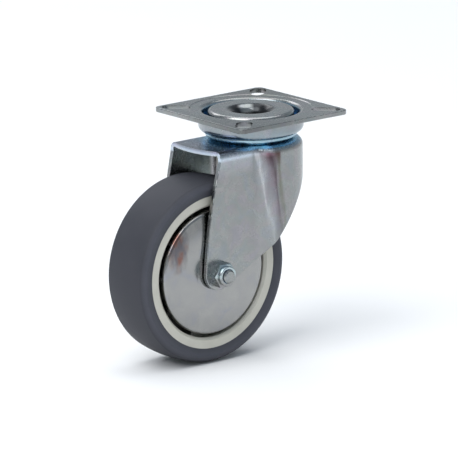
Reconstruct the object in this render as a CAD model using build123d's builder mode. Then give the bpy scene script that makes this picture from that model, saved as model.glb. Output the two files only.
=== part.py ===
from build123d import *

import os
from math import cos, radians, sin, sqrt, tan

# Swivel plate caster with a soft-tread wheel. Millimetres, +Z up.
# The origin is on the swivel axis, level with the top face of the plate.
# The wheel trails towards -X and turns on an axle along Y. "Right" pieces are at -Y.

# Sheet metal
sheet = 2.0
edge_round = 0.35

# Top plate
plate_side = 60.0
plate_corner = 3.0
slot_width = 7.0
slot_near = 21.0  # half the hole spacing at the inner end of each slot
slot_far = 24.8  # half the hole spacing at the outer end of each slot
dish_radius = 27.0
dish_depth = 0.2

# Bowl drawn down from the plate
bowl_mouth = 21.0
bowl_mouth_round = 1.8
bowl_draft = 0.4
bowl_bottom = -9.4
bowl_bottom_round = 2.6
bowl_neck_round = 1.0
bowl_floor_top = -5.8
bowl_floor_bottom = -8.0
bowl_hole = 9.8

# Swivel ball races
ball_radius = 2.0
race_gap = 0.05
upper_pitch = 13.2
upper_ball_z = -3.95
upper_ball_count = 19
lower_pitch = 16.3
lower_ball_z = -9.6
lower_ball_count = 24

# Race cap with its hollow kingpin
cap_top = -0.1
cap_radius = 18.7
cap_edge_round = 1.5
cap_skirt_round = 0.3
cap_skirt_bottom = -4.0
kingpin_radius = 8.8
kingpin_mouth_round = 4.2
rivet_radius = 11.2
rivet_thickness = 1.6

# Lower race cup
cup_inner = 12.5
cup_land_z = -11.2
cup_lip_radius = 20.0
cup_lip_top = -9.8
cup_lip_foot = -10.9
cup_foot_radius = 17.4
cup_bend = 0.8
cup_lip_width = 0.9

# Fork
crown_top = -12.4
fork_half_width = 16.0
fork_back_radius = 22.3
joggle_start = -10.5
joggle_end = -4.6
joggle_inner_round = 3.0
joggle_outer_round = 5.0
crown_bend = 3.2
front_edge_right = -30.2
front_edge_left = -31.9
front_edge_middle = -33.5
front_edge_foot = -16.5
front_bow_half = 12.9
front_tangent = 176.8  # bearing on the boss where the front edges of the legs leave it
boss_radius = 7.3
rear_edge_slope = 28.2
rear_edge_length = 20.2
back_edge_slope = 51.8
elbow_round = 12.0

# Wheel and axle
trail = 31.2
axle_z = -65.3
wheel_radius = 40.4
axle_radius = 2.95
axle_hole = 3.2
tube_bore = 3.05
hex_across_flats = 10.0
hex_face_ratio = 0.95
hex_chamfer_slope = 30.0
bolt_head_height = 4.0
bolt_end = -23.3
bolt_end_chamfer = 0.7
nut_hex_height = 4.4
nut_height = 6.0
nut_collar = 4.4
nut_collar_round = 0.6
nut_lip = 0.4
insert_radius = 3.7
insert_height = 1.2

# Tyre and wheel centre
tyre_half_width = 12.5
tread_half_width = 10.5
tread_edge_radius = 39.5
side_round_start = 36.8
shoulder_radius = 3.4
rim_outer = 33.6
rim_half_width = 11.6
rim_inner = 29.0
rim_chamfer = 1.1
seat_radius = 35.4
seat_half_width = 6.0
seat_shoulder = 7.6
rim_bed = 31.2
rim_bed_end = 6.6
rim_lip_start = 8.6
hub_radius = 14.0
hub_half_width = 9.8
web_half = 1.6
rib_half_height = 7.8
rib_thickness = 1.8
rib_count = 10

# Thread guards and the collars they are pressed onto
guard_sheet = 0.8
guard_radius = 27.3
guard_rim = 11.0
guard_skirt = 9.3
guard_shoulder_radius = 26.0
guard_shoulder = 12.3
guard_middle_radius = 10.0
guard_middle = 13.5
guard_dome = 60.0
guard_bend = 1.6
collar_radius = 6.0
collar_neck = 5.2

# Wheel bearings
bearing_bore = 4.0
bearing_outer = 11.0
bearing_width = 7.0
bearing_pitch = 7.5
bearing_ball = 1.984
bearing_ball_count = 7
bearing_race = 2.03
inner_ring_top = 6.05
outer_ring_bottom = 8.95
shield_step = 9.3
shield_inner = 6.4
shield_thickness = 0.3
shield_inset = 0.25
cage_inner = 6.85
cage_outer = 8.15
cage_front = 1.2
cage_back = 2.6
cage_pocket = 2.08

os.makedirs("parts", exist_ok=True)

axle_point = (-trail, 0, axle_z)
axle_axis = Axis(axle_point, (0, 1, 0))
# Profile plane of the turned wheel parts: local x is the radius, local y runs along the axle
wheel_plane = Plane(origin=axle_point, x_dir=(1, 0, 0), z_dir=(0, 0, 1))
leg_inside = fork_half_width - sheet
race_radius = ball_radius + race_gap
crown_bottom = crown_top - sheet


def on_circle(centre, radius, angle):
    """Point on a circle at an angle in degrees."""
    x = centre[0] + radius * cos(radians(angle))
    y = centre[1] + radius * sin(radians(angle))
    return (x, y)


def half_chord(radius, height):
    """Half the width of a circle at a height above or below its centre."""
    return sqrt(radius**2 - height**2)


# ---------------------------------------------------------------- top plate
# The bowl's floor is pressed up into a ridge. The upper balls run inside the ridge,
# and the lower balls run in the groove beneath it.
ridge_centre = (lower_pitch, lower_ball_z)
ridge_radius = race_radius + sheet
bowl_wall_foot = bowl_mouth - bowl_draft
ridge_side = on_circle(ridge_centre, ridge_radius, 35)
ridge_inside = (lower_pitch - half_chord(ridge_radius, bowl_floor_top - lower_ball_z), bowl_floor_top)
groove_inside = (lower_pitch - half_chord(race_radius, bowl_floor_bottom - lower_ball_z), bowl_floor_bottom)
groove_outside = (lower_pitch + half_chord(race_radius, bowl_bottom - lower_ball_z), bowl_bottom)
mouth_top = bowl_mouth + bowl_mouth_round
mouth_foot_z = -dish_depth - bowl_mouth_round
outer_neck = bowl_mouth + sheet
outer_foot = bowl_wall_foot + sheet

with BuildPart() as top_plate:
    with BuildSketch(Plane.XY.offset(-sheet)):
        RectangleRounded(plate_side, plate_side, plate_corner)
        Circle(dish_radius, mode=Mode.SUBTRACT)
    extrude(amount=sheet)
    rims = [faces().sort_by(Axis.Z)[-1].outer_wire(), faces().sort_by(Axis.Z)[0].outer_wire()]
    fillet([edge for rim in rims for edge in rim.edges()], edge_round)
    with BuildSketch(Plane.XZ):
        with BuildLine():
            Polyline(
                (dish_radius, -sheet),
                (dish_radius, 0),
                (dish_radius - 2 * dish_depth, -dish_depth),
                (mouth_top, -dish_depth),
            )
            RadiusArc((mouth_top, -dish_depth), (bowl_mouth, mouth_foot_z), -bowl_mouth_round)
            Polyline((bowl_mouth, mouth_foot_z), (bowl_wall_foot, ridge_side[1]), ridge_side)
            ThreePointArc(ridge_side, on_circle(ridge_centre, ridge_radius, 90), ridge_inside)
            Polyline(
                ridge_inside,
                (bowl_hole, bowl_floor_top),
                (bowl_hole, bowl_floor_bottom),
                groove_inside,
            )
            ThreePointArc(groove_inside, on_circle(ridge_centre, race_radius, 90), groove_outside)
            FilletPolyline(
                groove_outside,
                (outer_foot, bowl_bottom),
                (outer_neck, -sheet - bowl_neck_round),
                radius=bowl_bottom_round,
            )
            RadiusArc(
                (outer_neck, -sheet - bowl_neck_round),
                (outer_neck + bowl_neck_round, -sheet),
                bowl_neck_round,
            )
            Line((outer_neck + bowl_neck_round, -sheet), (dish_radius, -sheet))
        make_face()
    revolve(axis=Axis.Z)
    with BuildSketch(Plane.XZ):
        with Locations((upper_pitch, upper_ball_z)):
            Circle(race_radius)
    revolve(axis=Axis.Z, mode=Mode.SUBTRACT)
    with BuildSketch(Plane.XY):
        with PolarLocations((slot_near + slot_far) / sqrt(2), 4, start_angle=45):
            SlotCenterToCenter((slot_far - slot_near) * sqrt(2), slot_width)
    extrude(amount=-sheet, mode=Mode.SUBTRACT)
top_plate.part.label = "top_plate"
export_step(top_plate.part, "parts/top_plate.step")

# ---------------------------------------------------------------- cap and kingpin
cap_bottom = cap_top - sheet
kingpin_bore = kingpin_radius - sheet
mouth_edge = kingpin_bore + kingpin_mouth_round
mouth_foot = cap_top - kingpin_mouth_round
rivet_bottom = crown_bottom - rivet_thickness

with BuildPart() as kingpin_cap:
    with BuildSketch(Plane.XZ):
        with BuildLine():
            Line((kingpin_bore, mouth_foot), (kingpin_bore, rivet_bottom + sheet))
            RadiusArc((kingpin_bore, rivet_bottom + sheet), (kingpin_radius, rivet_bottom), -sheet)
            FilletPolyline(
                (kingpin_radius, rivet_bottom),
                (rivet_radius, rivet_bottom),
                (rivet_radius, crown_bottom),
                radius=rivet_thickness / 2,
            )
            Polyline(
                (rivet_radius, crown_bottom),
                (kingpin_radius, crown_bottom),
                (kingpin_radius, mouth_foot),
            )
            RadiusArc((kingpin_radius, mouth_foot), (mouth_edge, cap_bottom), kingpin_mouth_round - sheet)
            FilletPolyline(
                (mouth_edge, cap_bottom),
                (cap_radius - sheet, cap_bottom),
                (cap_radius - sheet, cap_skirt_bottom),
                (cap_radius, cap_skirt_bottom),
                (cap_radius, cap_top),
                (mouth_edge, cap_top),
                radius=[cap_skirt_round, cap_skirt_round, cap_skirt_round, cap_edge_round],
            )
            RadiusArc((mouth_edge, cap_top), (kingpin_bore, mouth_foot), -kingpin_mouth_round)
        make_face()
    revolve(axis=Axis.Z)
    with BuildSketch(Plane.XZ):
        with Locations((upper_pitch, upper_ball_z)):
            Circle(race_radius)
    revolve(axis=Axis.Z, mode=Mode.SUBTRACT)
kingpin_cap.part.label = "kingpin_cap"
export_step(kingpin_cap.part, "parts/kingpin_cap.step")

# ---------------------------------------------------------------- swivel balls
with BuildPart() as upper_balls:
    with Locations((0, 0, upper_ball_z)):
        with PolarLocations(upper_pitch, upper_ball_count):
            Sphere(ball_radius)
upper_balls.part.label = "upper_balls"
export_step(upper_balls.part, "parts/upper_balls.step")

with BuildPart() as lower_balls:
    with Locations((0, 0, lower_ball_z)):
        with PolarLocations(lower_pitch, lower_ball_count):
            Sphere(ball_radius)
lower_balls.part.label = "lower_balls"
export_step(lower_balls.part, "parts/lower_balls.step")

# ---------------------------------------------------------------- lower race cup
cup_groove_in = (lower_pitch - half_chord(race_radius, cup_land_z - lower_ball_z), cup_land_z)
cup_groove_out = on_circle(ridge_centre, race_radius, -35)

with BuildPart() as lower_race_cup:
    with BuildSketch(Plane.XZ):
        with BuildLine():
            FilletPolyline(
                (cup_inner, crown_top),
                (cup_foot_radius, crown_top),
                (cup_lip_radius, cup_lip_foot),
                (cup_lip_radius, cup_lip_top),
                radius=cup_bend,
            )
            Polyline(
                (cup_lip_radius, cup_lip_top),
                (cup_lip_radius - cup_lip_width, cup_lip_top),
                cup_groove_out,
            )
            ThreePointArc(cup_groove_out, on_circle(ridge_centre, race_radius, -90), cup_groove_in)
            Polyline(cup_groove_in, (cup_inner, cup_land_z), (cup_inner, crown_top))
        make_face()
    revolve(axis=Axis.Z)
lower_race_cup.part.label = "lower_race_cup"
export_step(lower_race_cup.part, "parts/lower_race_cup.step")

# ---------------------------------------------------------------- fork
# A pressed channel, narrow round the wheel and stepped out to a round back under the bowl.
fork_reach = -50.0
leg_bottom = -80.0
margin = 1.0
joggle_y = half_chord(fork_back_radius, joggle_end)

# Side view of the legs: front edge and rear edge both run tangent to the round boss
boss_centre = (-trail, axle_z)
rear_tangent = 360 + rear_edge_slope - 90
boss_front = on_circle(boss_centre, boss_radius, front_tangent)
boss_rear = on_circle(boss_centre, boss_radius, rear_tangent)
elbow = on_circle(boss_rear, rear_edge_length, rear_edge_slope)
back_reach = fork_back_radius + margin - elbow[0]
back_end = on_circle(elbow, back_reach / cos(radians(back_edge_slope)), back_edge_slope)
front_limit = front_edge_middle - margin


def leg_outline(front_edge):
    """Side view of a leg whose front edge meets the crown at front_edge."""
    corner = (front_edge, front_edge_foot)
    with BuildSketch(Plane.XZ) as outline:
        with BuildLine():
            rising = (sin(radians(front_tangent)), -cos(radians(front_tangent)))
            TangentArc(boss_front, corner, tangent=rising)
            CenterArc(boss_centre, boss_radius, front_tangent, rear_tangent - front_tangent)
            Polyline(
                boss_rear,
                elbow,
                back_end,
                (back_end[0], 0),
                (front_limit, 0),
                (front_limit, front_edge_foot),
                corner,
            )
        make_face()
        fillet(vertices().sort_by_distance(elbow)[0], elbow_round)
    return outline.sketch


def is_sheared(face):
    """True for the narrow faces that the fork's outline was cut along."""
    normal = face.normal_at(face.center())
    across_sheet = abs(normal.Y) < 0.01 and abs(normal.Z) < 0.99
    return across_sheet and face.geom_type != GeomType.TORUS and face.area < 1000


with BuildPart() as outline_block:
    extrude(leg_outline(front_edge_right), amount=fork_back_radius + margin)
    extrude(leg_outline(front_edge_left), amount=-fork_back_radius - margin)

with BuildPart() as fork:
    with BuildSketch(Plane.XY.offset(crown_top)):
        with BuildLine():
            Polyline(
                (joggle_end, joggle_y),
                (joggle_start, fork_half_width),
                (fork_reach, fork_half_width),
                (fork_reach, -fork_half_width),
                (joggle_start, -fork_half_width),
                (joggle_end, -joggle_y),
            )
            ThreePointArc((joggle_end, -joggle_y), (fork_back_radius, 0), (joggle_end, joggle_y))
        make_face()
        inner_corners = vertices().filter_by_position(Axis.X, joggle_start - margin, joggle_start + margin)
        fillet(inner_corners, joggle_inner_round)
        outer_corners = vertices().filter_by_position(Axis.X, joggle_end - margin, joggle_end + margin)
        fillet(outer_corners, joggle_outer_round)
    extrude(amount=leg_bottom - crown_top)
    top_face = faces().sort_by(Axis.Z)[-1]
    bend_edges = top_face.edges().filter_by_position(Axis.X, fork_reach + margin, fork_back_radius)
    fillet(bend_edges, crown_bend)
    open_faces = [faces().sort_by(Axis.Z)[0], faces().sort_by(Axis.X)[0]]
    offset(amount=-sheet, openings=open_faces)
    add(outline_block.part, mode=Mode.INTERSECT)
    with BuildSketch(Plane.XY):
        with BuildLine():
            ThreePointArc(
                (front_edge_right, -front_bow_half),
                (front_edge_middle, 0),
                (front_edge_left, front_bow_half),
            )
            Polyline(
                (front_edge_left, front_bow_half),
                (front_edge_left, fork_back_radius),
                (fork_reach, fork_back_radius),
                (fork_reach, -fork_back_radius),
                (front_edge_right, -fork_back_radius),
                (front_edge_right, -front_bow_half),
            )
        make_face()
    extrude(amount=front_edge_foot, mode=Mode.SUBTRACT)
    sheared_edges = faces().filter_by(is_sheared).edges()
    rims = [edge for edge in sheared_edges if sum(edge.is_same(other) for other in sheared_edges) == 1]
    fillet(rims, edge_round)
    with BuildSketch(Plane.XY.offset(crown_top)):
        Circle(kingpin_radius)
    extrude(amount=-sheet, mode=Mode.SUBTRACT)
    with BuildSketch(Plane.XZ):
        with Locations(boss_centre):
            Circle(axle_hole)
    extrude(amount=fork_half_width + margin, both=True, mode=Mode.SUBTRACT)
fork.part.label = "fork"
export_step(fork.part, "parts/fork.step")

# ---------------------------------------------------------------- tyre
with BuildPart() as tyre:
    with BuildSketch(wheel_plane):
        with BuildLine():
            right_shoulder = (side_round_start, -tyre_half_width)
            left_shoulder = (side_round_start, tyre_half_width)
            Polyline(
                (seat_radius, seat_half_width),
                (seat_radius, -seat_half_width),
                (rim_outer, -seat_shoulder),
                (rim_outer, -rim_half_width),
                right_shoulder,
            )
            RadiusArc(right_shoulder, (tread_edge_radius, -tread_half_width), -shoulder_radius)
            ThreePointArc(
                (tread_edge_radius, -tread_half_width),
                (wheel_radius, 0),
                (tread_edge_radius, tread_half_width),
            )
            RadiusArc((tread_edge_radius, tread_half_width), left_shoulder, -shoulder_radius)
            Polyline(
                left_shoulder,
                (rim_outer, rim_half_width),
                (rim_outer, seat_shoulder),
                (seat_radius, seat_half_width),
            )
        make_face()
    revolve(axis=axle_axis)
tyre.part.label = "tyre"
export_step(tyre.part, "parts/tyre.step")

# ---------------------------------------------------------------- wheel centre
# The ribs and the web run a little way into the hub and the rim, so that they join
rib_middle = (hub_radius + rim_bed) / 2
rib_length = rim_bed - hub_radius + margin

with BuildPart() as wheel_centre:
    with BuildSketch(wheel_plane):
        with BuildLine():
            half_rim = Polyline(
                (rim_bed, 0),
                (rim_bed, rim_bed_end),
                (rim_inner, rim_lip_start),
                (rim_inner, rim_half_width - rim_chamfer),
                (rim_inner + rim_chamfer, rim_half_width),
                (rim_outer, rim_half_width),
                (rim_outer, seat_shoulder),
                (seat_radius, seat_half_width),
                (seat_radius, 0),
            )
            mirror(half_rim, about=Plane.XZ)
        make_face()
        with Locations(((bearing_outer + hub_radius) / 2, 0)):
            Rectangle(hub_radius - bearing_outer, 2 * hub_half_width)
        with Locations((rib_middle, 0)):
            Rectangle(rib_length, 2 * web_half)
    revolve(axis=axle_axis)
    with BuildSketch(Plane(origin=axle_point, x_dir=(1, 0, 0), z_dir=(0, 1, 0))):
        with PolarLocations(rib_middle, rib_count):
            Rectangle(rib_length, rib_thickness)
    extrude(amount=rib_half_height, both=True)
wheel_centre.part.label = "wheel_centre"
export_step(wheel_centre.part, "parts/wheel_centre.step")


# ---------------------------------------------------------------- axle bolt and lock nut
def hexagon_between(start, end):
    """Hexagon on the axle line between two places along Y, its corners chamfered at the end."""
    chamfer_start = hex_face_ratio * hex_across_flats / 2
    chamfer_reach = hex_across_flats - chamfer_start
    chamfer_depth = chamfer_reach * tan(radians(hex_chamfer_slope)) * (1 if end > start else -1)
    with BuildPart() as hexagon:
        start_plane = Plane(origin=(-trail, start, axle_z), x_dir=(1, 0, 0), z_dir=(0, end - start, 0))
        with BuildSketch(start_plane):
            RegularPolygon(hex_across_flats / 2, 6, major_radius=False)
        extrude(amount=abs(end - start))
        with BuildSketch(wheel_plane):
            with BuildLine():
                Polyline(
                    (chamfer_start, end),
                    (hex_across_flats, end),
                    (hex_across_flats, end - chamfer_depth),
                    close=True,
                )
            make_face()
        revolve(axis=axle_axis, mode=Mode.SUBTRACT)
    return hexagon.part


bolt_head = hexagon_between(fork_half_width, fork_half_width + bolt_head_height)

with BuildPart() as axle_bolt:
    add(bolt_head)
    with BuildSketch(wheel_plane):
        with BuildLine():
            Polyline(
                (0, fork_half_width),
                (axle_radius, fork_half_width),
                (axle_radius, bolt_end + bolt_end_chamfer),
                (axle_radius - bolt_end_chamfer, bolt_end),
                (0, bolt_end),
                close=True,
            )
        make_face()
    revolve(axis=axle_axis)
axle_bolt.part.label = "axle_bolt"
export_step(axle_bolt.part, "parts/axle_bolt.step")

nut_start = -fork_half_width
nut_collar_start = nut_start - nut_hex_height
nut_end = nut_start - nut_height
nut_hexagon = hexagon_between(nut_start, nut_collar_start)
insert_y = nut_end + nut_lip + insert_height / 2

with BuildPart() as axle_nut:
    add(nut_hexagon)
    with BuildSketch(wheel_plane):
        with BuildLine():
            FilletPolyline(
                (nut_collar, nut_collar_start),
                (nut_collar, nut_end),
                (axle_hole, nut_end),
                radius=nut_collar_round,
            )
            Polyline(
                (axle_hole, nut_end),
                (axle_hole, nut_collar_start),
                (nut_collar, nut_collar_start),
            )
        make_face()
    revolve(axis=axle_axis)
    with BuildSketch(wheel_plane):
        with Locations((axle_radius / 2, (nut_start + nut_end) / 2)):
            Rectangle(axle_radius, nut_height)
        with Locations((insert_radius / 2, insert_y)):
            Rectangle(insert_radius, insert_height)
    revolve(axis=axle_axis, mode=Mode.SUBTRACT)
axle_nut.part.label = "axle_nut"
export_step(axle_nut.part, "parts/axle_nut.step")

with BuildPart() as nut_insert:
    with BuildSketch(wheel_plane):
        with Locations(((axle_radius + insert_radius) / 2, insert_y)):
            Rectangle(insert_radius - axle_radius, insert_height)
    revolve(axis=axle_axis)
nut_insert.part.label = "nut_insert"
export_step(nut_insert.part, "parts/nut_insert.step")

# ---------------------------------------------------------------- tube and spacer on the axle
# The legs clamp the tube, and the bearings and their collars sit on it
with BuildPart() as axle_tube:
    with BuildSketch(wheel_plane):
        with Locations(((tube_bore + bearing_bore) / 2, 0)):
            Rectangle(bearing_bore - tube_bore, 2 * leg_inside)
    revolve(axis=axle_axis)
axle_tube.part.label = "axle_tube"
export_step(axle_tube.part, "parts/axle_tube.step")

with BuildPart() as bearing_spacer:
    with BuildSketch(wheel_plane):
        with Locations(((bearing_bore + collar_radius) / 2, 0)):
            Rectangle(collar_radius - bearing_bore, 2 * (hub_half_width - bearing_width))
    revolve(axis=axle_axis)
bearing_spacer.part.label = "bearing_spacer"
export_step(bearing_spacer.part, "parts/bearing_spacer.step")


# ---------------------------------------------------------------- pieces made once for each side
def thread_guard(name, side):
    """Shallow pressed dome with a turned-in edge that covers the hub."""
    inset = side * guard_sheet
    middle = (guard_middle_radius, side * guard_middle)
    shoulder = (guard_shoulder_radius, side * guard_shoulder)
    rim = (guard_radius, side * guard_rim)
    inner_middle = (guard_middle_radius, middle[1] - inset)
    inner_shoulder = (guard_shoulder_radius - guard_sheet / 2, shoulder[1] - inset)
    inner_rim = (guard_radius - guard_sheet, rim[1] - inset)
    with BuildPart() as guard:
        with BuildSketch(wheel_plane):
            with BuildLine():
                Line((collar_neck, middle[1]), middle)
                RadiusArc(middle, shoulder, side * guard_dome)
                RadiusArc(shoulder, rim, side * guard_bend)
                Polyline(
                    rim,
                    (guard_radius, side * guard_skirt),
                    (guard_radius - guard_sheet, side * guard_skirt),
                    inner_rim,
                    inner_shoulder,
                )
                RadiusArc(inner_shoulder, inner_middle, -side * guard_dome)
                Polyline(
                    inner_middle,
                    (collar_neck, inner_middle[1]),
                    (collar_neck, middle[1]),
                )
            make_face()
        revolve(axis=axle_axis)
    guard.part.label = name
    export_step(guard.part, f"parts/{name}.step")


def bearing_collar(name, side):
    """Stepped collar from a bearing's inner ring, through the thread guard, out to the leg."""
    start = side * hub_half_width
    step = side * (guard_middle - guard_sheet)
    end = side * leg_inside
    with BuildPart() as collar:
        with BuildSketch(wheel_plane):
            with BuildLine():
                Polyline(
                    (bearing_bore, start),
                    (collar_radius, start),
                    (collar_radius, step),
                    (collar_neck, step),
                    (collar_neck, end),
                    (bearing_bore, end),
                    close=True,
                )
            make_face()
        revolve(axis=axle_axis)
    collar.part.label = name
    export_step(collar.part, f"parts/{name}.step")


def bearing(prefix, side):
    """Deep-groove ball bearing, 8 x 22 x 7, with a shield on each face."""
    middle = side * (hub_half_width - bearing_width / 2)
    shield_y = bearing_width / 2 - shield_inset - shield_thickness / 2
    ball_plane = Plane(origin=(-trail, middle, axle_z), x_dir=(1, 0, 0), z_dir=(0, 1, 0))

    with BuildPart() as inner_ring:
        with BuildSketch(wheel_plane):
            with Locations(((bearing_bore + inner_ring_top) / 2, middle)):
                Rectangle(inner_ring_top - bearing_bore, bearing_width)
            with Locations((bearing_pitch, middle)):
                Circle(bearing_race, mode=Mode.SUBTRACT)
        revolve(axis=axle_axis)
    inner_ring.part.label = f"{prefix}_inner_ring"
    export_step(inner_ring.part, f"parts/{prefix}_inner_ring.step")

    with BuildPart() as outer_ring:
        with BuildSketch(wheel_plane):
            with Locations(((outer_ring_bottom + bearing_outer) / 2, middle)):
                Rectangle(bearing_outer - outer_ring_bottom, bearing_width)
            with Locations((bearing_pitch, middle)):
                Circle(bearing_race, mode=Mode.SUBTRACT)
            step_depth = shield_inset + shield_thickness
            for face in (-1, 1):
                with Locations((shield_step / 2, middle + face * (bearing_width - step_depth) / 2)):
                    Rectangle(shield_step, step_depth, mode=Mode.SUBTRACT)
        revolve(axis=axle_axis)
    outer_ring.part.label = f"{prefix}_outer_ring"
    export_step(outer_ring.part, f"parts/{prefix}_outer_ring.step")

    with BuildPart() as balls:
        with Locations(ball_plane):
            with PolarLocations(bearing_pitch, bearing_ball_count):
                Sphere(bearing_ball)
    balls.part.label = f"{prefix}_balls"
    export_step(balls.part, f"parts/{prefix}_balls.step")

    with BuildPart() as cage:
        with BuildSketch(wheel_plane):
            with Locations(((cage_inner + cage_outer) / 2, middle + (cage_back - cage_front) / 2)):
                Rectangle(cage_outer - cage_inner, cage_front + cage_back)
        revolve(axis=axle_axis)
        with Locations(ball_plane):
            with PolarLocations(bearing_pitch, bearing_ball_count):
                Sphere(cage_pocket, mode=Mode.SUBTRACT)
    cage.part.label = f"{prefix}_cage"
    export_step(cage.part, f"parts/{prefix}_cage.step")

    with BuildPart() as shields:
        with BuildSketch(wheel_plane):
            for face in (-1, 1):
                with Locations(((shield_inner + shield_step) / 2, middle + face * shield_y)):
                    Rectangle(shield_step - shield_inner, shield_thickness)
        revolve(axis=axle_axis)
    shields.part.label = f"{prefix}_shields"
    export_step(shields.part, f"parts/{prefix}_shields.step")


for side_name, side in (("right", -1), ("left", 1)):
    thread_guard(f"thread_guard_{side_name}", side)
    bearing_collar(f"bearing_collar_{side_name}", side)
    bearing(f"bearing_{side_name}", side)
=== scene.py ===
import math

import bpy
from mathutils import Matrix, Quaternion, Vector


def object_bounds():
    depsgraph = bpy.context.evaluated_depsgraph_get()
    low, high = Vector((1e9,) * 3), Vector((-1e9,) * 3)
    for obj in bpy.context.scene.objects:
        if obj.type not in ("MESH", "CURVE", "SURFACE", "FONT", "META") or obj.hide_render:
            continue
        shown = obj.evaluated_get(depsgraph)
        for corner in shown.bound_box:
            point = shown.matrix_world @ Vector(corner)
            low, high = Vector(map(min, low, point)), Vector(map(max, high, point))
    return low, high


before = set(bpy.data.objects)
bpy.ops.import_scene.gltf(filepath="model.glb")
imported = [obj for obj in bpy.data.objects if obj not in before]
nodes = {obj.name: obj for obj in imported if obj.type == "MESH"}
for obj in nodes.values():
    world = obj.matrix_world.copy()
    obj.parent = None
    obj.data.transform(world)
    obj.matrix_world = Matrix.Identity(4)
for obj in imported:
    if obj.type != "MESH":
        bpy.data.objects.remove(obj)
cad_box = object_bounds()
MM = 0.001
AXLE_X = -31.2 * MM
AXLE_Z = -65.3 * MM

scene = bpy.context.scene
scene.view_settings.view_transform = "Standard"
scene.view_settings.look = "None"


# ---------------------------------------------------------------- node helpers
class Material:
    """A node material with one Principled shader, and short calls to add nodes to it."""

    def __init__(self, name):
        self.material = bpy.data.materials.new(name)
        self.material.use_nodes = True
        self.tree = self.material.node_tree
        self.shader = self.tree.nodes["Principled BSDF"]
        self.place = self.add("ShaderNodeTexCoord").outputs["Object"]

    def add(self, kind, **settings):
        node = self.tree.nodes.new(kind)
        for name, value in settings.items():
            setattr(node, name, value)
        return node

    def link(self, source, target):
        self.tree.links.new(source, target)

    def set(self, **values):
        """Sets the shader's own sockets; an underscore stands for a space in a socket's name."""
        for name, value in values.items():
            self.shader.inputs[name.replace("_", " ")].default_value = value

    def noise(self, size, detail=3.0, roughness=0.5, stretch=(1, 1, 1), distortion=0.0):
        """Noise whose features are about size metres long, stretched along an axis where asked."""
        mapping = self.add("ShaderNodeMapping")
        mapping.inputs["Scale"].default_value = [1 / (size * s) for s in stretch]
        texture = self.add("ShaderNodeTexNoise")
        texture.inputs["Scale"].default_value = 1.0
        texture.inputs["Detail"].default_value = detail
        texture.inputs["Roughness"].default_value = roughness
        texture.inputs["Distortion"].default_value = distortion
        self.link(self.place, mapping.inputs["Vector"])
        self.link(mapping.outputs[0], texture.inputs["Vector"])
        return texture.outputs["Fac"]

    def span(self, source, low, high, start=0.3, end=0.7):
        """Maps start..end of a value to low..high, and holds it there outside."""
        node = self.add("ShaderNodeMapRange")
        node.inputs["From Min"].default_value = start
        node.inputs["From Max"].default_value = end
        node.inputs["To Min"].default_value = low
        node.inputs["To Max"].default_value = high
        self.link(source, node.inputs["Value"])
        return node.outputs["Result"]

    def ramp(self, source, *stops):
        """Colours along a value; each stop is (place, (r, g, b))."""
        node = self.add("ShaderNodeValToRGB")
        elements = node.color_ramp.elements
        elements.remove(elements[1])
        elements[0].position = stops[0][0]
        elements[0].color = (*stops[0][1], 1)
        for place, colour in stops[1:]:
            elements.new(place).color = (*colour, 1)
        self.link(source, node.inputs["Fac"])
        return node.outputs["Color"]

    def feed(self, socket, value):
        """Links a socket, or sets it to a number or an (r, g, b)."""
        if isinstance(value, bpy.types.NodeSocket):
            self.link(value, socket)
        elif isinstance(value, tuple):
            socket.default_value = (*value, 1)
        else:
            socket.default_value = value

    def mix(self, factor, first, second, kind="MIX"):
        """Mixes two colours by a factor."""
        node = self.add("ShaderNodeMix", data_type="RGBA", blend_type=kind)
        colour_sockets = (node.inputs[0], node.inputs[6], node.inputs[7])
        for socket, value in zip(colour_sockets, (factor, first, second)):
            self.feed(socket, value)
        return node.outputs[2]

    def tinted(self, colour, tint, amount=1.0):
        """The colour times a tint, as far as amount (0 to 1) says."""
        product = self.mix(1.0, colour, tint, "MULTIPLY")
        if amount == 1.0:
            return product
        return self.mix(amount, colour, product)

    def axes(self):
        """X, Y and Z of the place on the part, as sockets."""
        split = self.add("ShaderNodeSeparateXYZ")
        self.link(self.place, split.inputs[0])
        return split.outputs["X"], split.outputs["Y"], split.outputs["Z"]

    def math(self, operation, first, second=0.0):
        node = self.add("ShaderNodeMath", operation=operation)
        for socket, value in zip(node.inputs, (first, second)):
            self.feed(socket, value)
        return node.outputs[0]

    def plus(self, first, second):
        return self.math("ADD", first, second)

    def times(self, first, second):
        return self.math("MULTIPLY", first, second)

    def reach(self, x, y):
        """Distance from the line where two coordinates are zero."""
        return self.math("POWER", self.plus(self.times(x, x), self.times(y, y)), 0.5)

    def above(self, source, start, end):
        """0 below start, 1 beyond end."""
        return self.span(source, 0.0, 1.0, start, end)

    def below(self, source, start, end):
        """1 below start, 0 beyond end."""
        return self.span(source, 1.0, 0.0, start, end)

    def bump(self, height, distance, strength=1.0, under=None):
        """Adds a bump of that height in metres; under is an earlier bump that it builds on."""
        node = self.add("ShaderNodeBump")
        node.inputs["Distance"].default_value = distance
        node.inputs["Strength"].default_value = strength
        self.link(height, node.inputs["Height"])
        if under is not None:
            self.link(under, node.inputs["Normal"])
        self.link(node.outputs[0], self.shader.inputs["Normal"])
        return node.outputs[0]

    def paint(self, colour):
        self.link(colour, self.shader.inputs["Base Color"])

    def roughen(self, source, low, high):
        self.link(self.span(source, low, high), self.shader.inputs["Roughness"])


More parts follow.
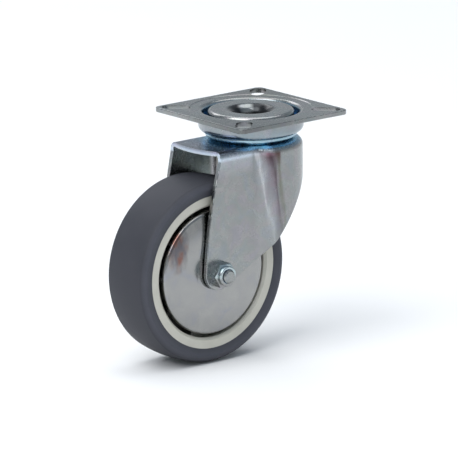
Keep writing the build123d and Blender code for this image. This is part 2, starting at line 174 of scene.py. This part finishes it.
# ---------------------------------------------------------------- materials
def zinc(name, painted_light_by_place=None):
    """Zinc plating on pressed sheet: satin grey, softly mottled, with faint blue, green and lilac tints.

    The function given as its second argument paints light and shade into the colour by the place on the
    part.
    """
    look = Material(name)
    look.set(Metallic=1.0)
    mottle = look.noise(5 * MM, detail=5, roughness=0.55, distortion=0.5)
    tint = look.noise(8 * MM, detail=3, distortion=1.0)
    grain = look.noise(0.5 * MM, detail=3, roughness=0.6)
    grey = look.ramp(mottle, (0.28, (0.262, 0.272, 0.278)), (0.72, (0.335, 0.334, 0.338)))
    hues = look.ramp(
        tint,
        (0.32, (0.96, 1.0, 1.03)),
        (0.45, (0.98, 1.02, 0.98)),
        (0.55, (1.02, 1.0, 0.98)),
        (0.68, (1.02, 0.985, 1.03)),
    )
    colour = look.tinted(grey, hues)
    speck = look.ramp(grain, (0.3, (0.93, 0.93, 0.93)), (0.7, (1.06, 1.06, 1.06)))
    colour = look.tinted(colour, speck)
    if painted_light_by_place:
        colour = painted_light_by_place(look, colour)
    look.paint(colour)
    look.roughen(mottle, 0.2, 0.32)
    wavy = look.bump(look.noise(4 * MM, detail=2), 0.04 * MM)
    look.bump(grain, 0.003 * MM, under=wavy)
    return look.material


def plate_painted_light(look, colour):
    """Painted bluish reflection inside the bowl and low on its outside, and painted shade darker toward
    two opposite corners of the plate.
    """
    x, y, z = look.axes()
    in_bowl = look.below(look.reach(x, y), 20.9 * MM, 21.8 * MM)
    under_face = look.below(z, -1.6 * MM, -0.6 * MM)
    # Painted bluish reflection inside the bowl, below the top face
    colour = look.tinted(colour, (0.85, 1.45, 1.95), look.times(in_bowl, under_face))
    # Painted shade toward two opposite corners of the plate's top face
    corner_painted_shade = look.ramp(
        look.above(look.plus(x, y), -60 * MM, 60 * MM),
        (0.0, (0.55, 0.56, 0.56)),
        (0.22, (0.72, 0.74, 0.74)),
        (0.36, (1, 1, 1)),
        (0.68, (1, 1, 1)),
        (0.8, (0.78, 0.78, 0.74)),
        (1.0, (0.72, 0.72, 0.7)),
    )
    colour = look.tinted(colour, corner_painted_shade, look.above(z, -3.4 * MM, -2.4 * MM))
    # Painted bluish reflection low on the outside of the bowl
    return look.tinted(colour, (0.95, 1.08, 1.2), look.below(z, -8.6 * MM, -3.0 * MM))


def nut_painted_light(look, colour):
    """Painted highlight: brighter and bluish on the upper flats."""
    upper = look.above(look.axes()[2], AXLE_Z - 1.0 * MM, AXLE_Z + 0.5 * MM)
    # Painted highlight on the upper flats
    return look.tinted(colour, (1.6, 1.78, 1.85), upper)


def cap_painted_shade(look, colour):
    """Painted shade: dark in the mouth of the kingpin, but for one spot left unshaded."""
    x, y, _ = look.axes()
    spot_x, spot_y = 3.5 * MM, 8.2 * MM
    mouth = look.below(look.reach(x, y), 9.8 * MM, 10.9 * MM)
    from_spot = look.reach(look.plus(x, -spot_x), look.plus(y, -spot_y))
    off_spot = look.above(from_spot, 2.0 * MM, 4.0 * MM)
    # Painted shade in the mouth of the kingpin, leaving one spot unshaded
    return look.tinted(colour, (0.13, 0.13, 0.14), look.times(mouth, off_spot))


def cup_painted_reflection(look, colour):
    """Painted bluish reflection: light blue all over."""
    # Painted bluish reflection over the whole cup
    return look.tinted(colour, (1.1, 1.55, 1.8))


def fork_painted_light(look, colour):
    """Painted reflection bluer on the crown, painted highlight and shade streaks down the stepped part
    of each leg, a painted reddish reflection, painted light on the leg tops and bend, painted shade on
    the inner faces, and a glint.
    """
    x, y, z = look.axes()
    # Painted reflection: bluer on the crown, most toward the bowl
    crown_painted_reflection = look.ramp(
        look.above(look.reach(x, y), 16 * MM, 34 * MM),
        (0.0, (0.9, 1.75, 2.3)),
        (0.25, (0.8, 1.3, 1.7)),
        (0.55, (0.86, 0.98, 1.25)),
        (1.0, (0.9, 0.95, 1.12)),
    )
    colour = look.tinted(colour, crown_painted_reflection, look.above(z, -14.4 * MM, -13.0 * MM))

    # Painted highlight and shade streaks down the step of each leg; they waver, and lean as they go down
    # from streak_top
    streak_top = -24 * MM
    lean = 0.15
    waver = look.span(look.noise(3 * MM, detail=3, stretch=(1, 1, 6)), -0.8 * MM, 0.8 * MM)
    slant = look.times(look.plus(z, -streak_top), lean)
    across = look.plus(look.plus(x, slant), waver)
    streaks = look.ramp(
        look.above(across, -14 * MM, 2 * MM),
        (0.0, (1, 1, 1)),
        (0.2, (0.9, 0.89, 0.92)),
        (0.26, (1.05, 1.04, 1.08)),
        (0.30, (1.5, 1.48, 1.55)),
        (0.35, (1.05, 1.03, 1.1)),
        (0.44, (0.8, 0.74, 0.82)),
        (0.5, (0.7, 0.6, 0.68)),
        (0.56, (0.42, 0.34, 0.38)),
        (0.63, (0.82, 0.78, 0.8)),
        (0.72, (0.66, 0.66, 0.56)),
        (0.82, (1, 1, 1)),
    )
    fade = look.span(z, 0.35, 1.0, -54 * MM, -26 * MM)
    legs = look.below(z, -15.6 * MM, -14.2 * MM)
    colour = look.tinted(colour, streaks, look.times(fade, legs))

    # Painted reddish reflection in a band at the top of the streaks
    band_height = look.times(legs, look.above(z, -22 * MM, -16 * MM))
    band_left = look.above(across, -8.5 * MM, -6.5 * MM)
    band_right = look.below(across, -1.5 * MM, 0.0)
    red_painted_reflection = look.times(band_height, look.times(band_left, band_right))
    colour = look.tinted(colour, (0.55, 0.38, 0.4), red_painted_reflection)

    # Painted light: lighter, bluish top of the legs and bend, on the open side of the fork
    leg_top_painted_light = look.times(legs, look.above(z, -24 * MM, -17 * MM))
    leg_top_painted_light = look.times(leg_top_painted_light, look.below(across, -13 * MM, -10 * MM))
    colour = look.tinted(colour, (1.25, 1.3, 1.38), leg_top_painted_light)
    bend_painted_light = look.times(look.above(z, -17 * MM, -15.4 * MM), look.below(z, -13.6 * MM, -12.8 * MM))
    bend_painted_light = look.times(bend_painted_light, look.below(x, -13 * MM, -8 * MM))
    colour = look.tinted(colour, (1.6, 1.7, 1.85), bend_painted_light)

    # Painted shade on the darker inner faces
    inner_face = look.below(look.math("ABSOLUTE", y), 14.0 * MM, 14.3 * MM)
    colour = look.tinted(colour, (0.62, 0.68, 0.64), look.times(legs, inner_face))

    # Glint on the bend above the streaks
    glint_x, glint_z = -6.5 * MM, -14.6 * MM
    from_glint = look.reach(look.plus(x, -glint_x), look.plus(z, -glint_z))
    return look.tinted(colour, (2.4, 2.4, 2.5), look.below(from_glint, 0.8 * MM, 2.6 * MM))


def polished_zinc():
    """The thread guards: a smoother plating, with a ragged brownish painted reflection toward one side.
    """
    look = Material("polished_zinc")
    look.set(Metallic=1.0)
    mottle = look.noise(8 * MM, detail=4, distortion=0.8)
    grain = look.noise(0.4 * MM, detail=3)
    grey = look.ramp(
        mottle,
        (0.28, (0.285, 0.292, 0.315)),
        (0.5, (0.315, 0.315, 0.31)),
        (0.72, (0.345, 0.345, 0.335)),
    )
    speck = look.ramp(grain, (0.3, (0.95, 0.95, 0.95)), (0.7, (1.04, 1.04, 1.04)))
    colour = look.tinted(grey, speck)

    x, _, z = look.axes()
    # Painted brownish reflection, ragged, toward one side of the guard
    reflection_x, reflection_z = -51.5 * MM, -51.5 * MM
    flattening = 0.5  # the painted reflection is about twice as high as it is wide
    ragged = look.span(look.noise(5 * MM, detail=3, stretch=(0.6, 1, 1.6)), -1.4 * MM, 1.4 * MM)
    from_reflection = look.reach(look.plus(x, -reflection_x), look.times(look.plus(z, -reflection_z), flattening))
    brown_painted_reflection = look.below(look.plus(from_reflection, ragged), 3 * MM, 6.5 * MM)
    brown_painted_reflection = look.times(brown_painted_reflection, look.above(z, -63.4 * MM, -62 * MM))
    reflection_hues = look.ramp(
        look.noise(4.5 * MM, detail=2, stretch=(0.8, 1, 1.2)),
        (0.38, (0.68, 0.38, 0.33)),
        (0.5, (0.56, 0.48, 0.49)),
        (0.62, (0.46, 0.44, 0.5)),
    )
    look.paint(look.tinted(colour, reflection_hues, brown_painted_reflection))
    look.roughen(mottle, 0.14, 0.24)
    look.bump(look.noise(5 * MM, detail=2), 0.02 * MM)
    return look.material


def bearing_steel():
    """Ground steel with a faint haze."""
    look = Material("bearing_steel")
    look.set(Metallic=1.0)
    haze = look.noise(1.2 * MM, detail=3)
    look.paint(look.ramp(haze, (0.3, (0.42, 0.43, 0.45)), (0.7, (0.52, 0.52, 0.53))))
    look.roughen(haze, 0.08, 0.16)
    return look.material


def tread_rubber():
    """Grey thermoplastic rubber with a fine moulded grain, and painted light making it lighter on the
    nut's side.
    """
    look = Material("tread_rubber")
    look.set(Specular_IOR_Level=0.25)
    cloud = look.noise(12 * MM, detail=4)
    grain = look.noise(0.35 * MM, detail=3, roughness=0.6)
    colour = look.ramp(cloud, (0.3, (0.037, 0.039, 0.048)), (0.7, (0.046, 0.047, 0.057)))
    side = look.below(look.axes()[1], -12.3 * MM, -10.8 * MM)
    # Painted light on the sidewall on the nut's side
    look.paint(look.tinted(colour, (1.75, 1.75, 1.75), side))
    look.roughen(cloud, 0.55, 0.65)
    look.bump(grain, 0.02 * MM)
    return look.material


def centre_plastic():
    """Light grey polypropylene, slightly warm, and painted shade dark deep in the narrow gap round each
    guard.
    """
    look = Material("centre_plastic")
    look.set(Specular_IOR_Level=0.4)
    cloud = look.noise(8 * MM, detail=4)
    grain = look.noise(0.25 * MM, detail=2)
    colour = look.ramp(cloud, (0.3, (0.53, 0.515, 0.45)), (0.7, (0.59, 0.575, 0.505)))
    x, _, z = look.axes()
    from_axle = look.reach(look.plus(x, -AXLE_X), look.plus(z, -AXLE_Z))
    # Painted shade deep in the narrow gap round each guard
    look.paint(look.tinted(colour, (0.12, 0.12, 0.12), look.below(from_axle, 28.6 * MM, 29.0 * MM)))
    look.roughen(cloud, 0.4, 0.5)
    look.bump(grain, 0.008 * MM)
    return look.material


def nylon():
    """Blue nylon, slightly cloudy."""
    look = Material("nylon")
    cloud = look.noise(1.5 * MM, detail=3)
    look.paint(look.ramp(cloud, (0.3, (0.05, 0.16, 0.34)), (0.7, (0.06, 0.19, 0.40))))
    look.roughen(cloud, 0.4, 0.5)
    return look.material


slot_finishes = {
    "zinc": zinc("zinc_plate"),
    "polished_zinc": polished_zinc(),
    "bearing_steel": bearing_steel(),
    "tread": tread_rubber(),
    "centre_plastic": centre_plastic(),
    "nylon": nylon(),
}
# These zinc materials carry painted light and shade by the place on each part
node_finishes_with_painted_light = {
    "fork": zinc("zinc_fork", fork_painted_light),
    "top_plate": zinc("zinc_bowl", plate_painted_light),
    "lower_race_cup": zinc("zinc_cup", cup_painted_reflection),
    "kingpin_cap": zinc("zinc_cap", cap_painted_shade),
    "axle_nut": zinc("zinc_nut", nut_painted_light),
}
for name, node in nodes.items():
    for slot in node.material_slots:
        slot_name = slot.material.name.split(".")[0]
        slot.material = node_finishes_with_painted_light.get(name) or slot_finishes[slot_name]


# ---------------------------------------------------------------- floor and lights
object_middle = Vector((0, 0, -0.05))


def away_from_object(azimuth, elevation):
    """Direction from the object at an azimuth and an elevation; azimuth 0 looks along +Y."""
    turn, rise = math.radians(azimuth), math.radians(elevation)
    return Vector((math.sin(turn) * math.cos(rise), -math.cos(turn) * math.cos(rise), math.sin(rise)))


def floor():
    """Pale paper under the wheel."""
    half = 6.0
    floor_z = cad_box[0].z
    mesh = bpy.data.meshes.new("floor")
    corners = [(x * half, y * half, floor_z) for x, y in ((-1, -1), (1, -1), (1, 1), (-1, 1))]
    mesh.from_pydata(corners, [], [(0, 1, 2, 3)])
    piece = bpy.data.objects.new("floor", mesh)
    scene.collection.objects.link(piece)
    look = Material("floor_paper")
    look.paint(look.ramp(look.noise(0.3, detail=2), (0.3, (0.88, 0.88, 0.88)), (0.7, (0.9, 0.9, 0.9))))
    look.set(Roughness=0.9, Specular_IOR_Level=0.1)
    mesh.materials.append(look.material)


def softbox(name, azimuth, elevation, distance, width, height, power):
    """Area light, in metres and watts, that faces the object from a direction."""
    light = bpy.data.lights.new(name, "AREA")
    light.shape = "RECTANGLE"
    light.size = width
    light.size_y = height
    light.energy = power
    lamp = bpy.data.objects.new(name, light)
    scene.collection.objects.link(lamp)
    away = away_from_object(azimuth, elevation)
    lamp.location = object_middle + away * distance
    lamp.rotation_mode = "QUATERNION"
    lamp.rotation_quaternion = away.to_track_quat("Z", "Y")


def world_glow():
    """Pale at the horizon, bluish grey higher up."""
    world = bpy.data.worlds.new("studio")
    scene.world = world
    world.use_nodes = True
    tree = world.node_tree
    background = tree.nodes["Background"]
    place = tree.nodes.new("ShaderNodeTexCoord")
    split = tree.nodes.new("ShaderNodeSeparateXYZ")
    ramp = tree.nodes.new("ShaderNodeValToRGB")
    tree.links.new(place.outputs["Generated"], split.inputs[0])
    tree.links.new(split.outputs["Z"], ramp.inputs["Fac"])
    tree.links.new(ramp.outputs["Color"], background.inputs["Color"])
    elements = ramp.color_ramp.elements
    elements[0].position, elements[0].color = 0.0, (0.9, 0.92, 0.94, 1)
    elements[1].position, elements[1].color = 0.9, (0.36, 0.42, 0.50, 1)
    elements.new(0.12).color = (0.74, 0.79, 0.83, 1)
    elements.new(0.3).color = (0.46, 0.52, 0.57, 1)
    background.inputs["Strength"].default_value = 0.8


floor()
world_glow()
softbox("key", -80, 50, 1.6, 1.2, 1.2, 19)
softbox("top", 120, 78, 1.6, 1.6, 1.6, 14)
softbox("back", 170, 36, 1.8, 1.2, 0.5, 5)


# ---------------------------------------------------------------- camera
def camera():
    """Looks from the front left, a little above the plate."""
    azimuth, elevation, roll = -39.44, 14.06, 0.42
    distance = 2.576
    view_width = 0.198268  # metres seen across the view at the object's middle
    middle_right, middle_up = 0.009784, 0.003506  # metres the object's middle is off the view's centre
    back = away_from_object(azimuth, elevation)
    right = Vector((math.cos(math.radians(azimuth)), math.sin(math.radians(azimuth)), 0))
    up = back.cross(right)
    data = bpy.data.cameras.new("camera")
    data.sensor_width = 36.0
    data.lens = data.sensor_width * distance / view_width
    data.clip_start, data.clip_end = 0.1, 100
    eye = bpy.data.objects.new("camera", data)
    scene.collection.objects.link(eye)
    eye.location = object_middle - right * middle_right - up * middle_up + back * distance
    eye.rotation_mode = "QUATERNION"
    eye.rotation_quaternion = back.to_track_quat("Z", "Y") @ Quaternion((0, 0, 1), -math.radians(roll))
    scene.camera = eye


camera()
